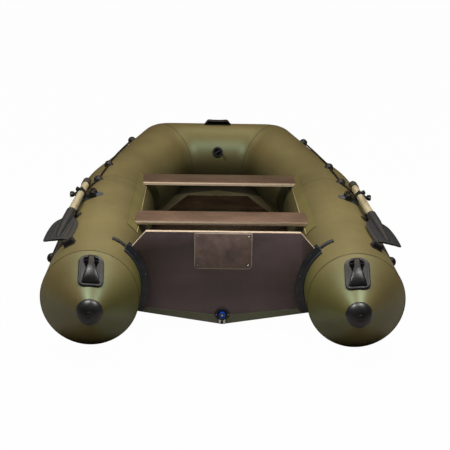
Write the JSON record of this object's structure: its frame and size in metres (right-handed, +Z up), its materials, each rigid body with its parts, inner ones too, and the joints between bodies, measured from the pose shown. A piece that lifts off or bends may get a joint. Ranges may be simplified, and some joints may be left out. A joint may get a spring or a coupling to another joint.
{
  "type": "inflatable boat",
  "caption": "Inflatable rowing boat with an open cockpit, plywood transom, floor and sliding seats, and oars stowed along its tubes.",
  "frame": {"origin": "on the ground under the middle of the boat's length and width", "axes": "+Y towards the bow, +X to starboard, +Z up"},
  "size_m": [1.516, 2.93, 0.4973],
  "materials": {
    "aluminium": "satin",
    "band_fabric": "semi-gloss coated fabric",
    "black_plastic": "satin",
    "black_rubber": "satin",
    "blade_plastic": "matte",
    "blue_plastic": "gloss",
    "bottom_fabric": "semi-gloss coated fabric",
    "floor_plywood": "satin film-faced plywood",
    "grip_rubber": "matte",
    "hull_fabric": "semi-gloss coated fabric",
    "oar_shaft": "satin",
    "plate_plywood": "worn satin",
    "rail_fabric": "semi-gloss",
    "rope": "matte braided",
    "seat_plywood": "satin varnished plywood",
    "transom_plywood": "satin film-faced plywood"
  },
  "bodies": {
    "hull": {"aft_floor_board": "floor_plywood", "bottom_skin": "bottom_fabric", "bow_floor_board": "floor_plywood", "bow_handle": "black_rubber", "bow_tube": "hull_fabric", "bow_valve": "black_plastic", "drain_plug": "blue_plastic", "drain_valve": "black_plastic", "floor_profiles": "aluminium", "fore_floor_board": "floor_plywood", "inner_motor_plate": "plate_plywood", "keel_tube": "hull_fabric", "middle_floor_board": "floor_plywood", "outer_motor_plate": "plate_plywood", "port_cone_cap": "black_rubber", "port_lifeline": "rope", "port_oar_clips": "black_rubber", "port_oarlock_base": "black_rubber", "port_rope_guides": "black_rubber", "port_seat_rail": "rail_fabric", "port_side_tube": "hull_fabric", "port_stern_cone": "hull_fabric", "port_stern_handle": "black_rubber", "port_transom_holder": "black_rubber", "port_valve": "black_plastic", "starboard_cone_cap": "black_rubber", "starboard_lifeline": "rope", "starboard_oar_clips": "black_rubber", "starboard_oarlock_base": "black_rubber", "starboard_rope_guides": "black_rubber", "starboard_seat_rail": "rail_fabric", "starboard_side_tube": "hull_fabric", "starboard_stern_cone": "hull_fabric", "starboard_stern_handle": "black_rubber", "starboard_transom_holder": "black_rubber", "starboard_valve": "black_plastic", "towing_eye": "black_rubber", "transom_board": "transom_plywood", "transom_bottom_band": "band_fabric"},
    "front_seat": {"front_seat": "seat_plywood"},
    "rear_seat": {"rear_seat": "seat_plywood"},
    "port_oarlock": {"port_oarlock_bracket": "black_plastic"},
    "port_oar": {"port_oar_shaft": "oar_shaft", "port_oar_collar": "black_plastic", "port_oar_grip": "grip_rubber", "port_oar_blade": "blade_plastic"},
    "starboard_oarlock": {"starboard_oarlock_bracket": "black_plastic"},
    "starboard_oar": {"starboard_oar_shaft": "oar_shaft", "starboard_oar_collar": "black_plastic", "starboard_oar_grip": "grip_rubber", "starboard_oar_blade": "blade_plastic"}
  },
  "joints": [
    {"name": "front_seat_slide", "type": "slide", "parent": "hull", "child": "front_seat", "axis": [0, 1, 0], "range_m": [-0.29, 0]},
    {"name": "rear_seat_slide", "type": "slide", "parent": "hull", "child": "rear_seat", "axis": [0, 1, 0], "range_m": [-0.1, 0.29]},
    {"name": "port_oarlock_tilt", "type": "hinge", "parent": "hull", "child": "port_oarlock", "pos_m": [-0.61, -0.202, 0.40329], "axis": [0, 1, 0], "range_deg": [0, 30]},
    {"name": "port_oar_swing", "type": "hinge", "parent": "port_oarlock", "child": "port_oar", "pos_m": [-0.66612, -0.202, 0.40183], "axis": [0.6293, 0, -0.7771], "range_deg": [0, 130]},
    {"name": "starboard_oarlock_tilt", "type": "hinge", "parent": "hull", "child": "starboard_oarlock", "pos_m": [0.61, -0.202, 0.40329], "axis": [0, -1, 0], "range_deg": [0, 30]},
    {"name": "starboard_oar_swing", "type": "hinge", "parent": "starboard_oarlock", "child": "starboard_oar", "pos_m": [0.66612, -0.202, 0.40183], "axis": [0.6293, 0, 0.7771], "range_deg": [0, 130]}
  ]
}
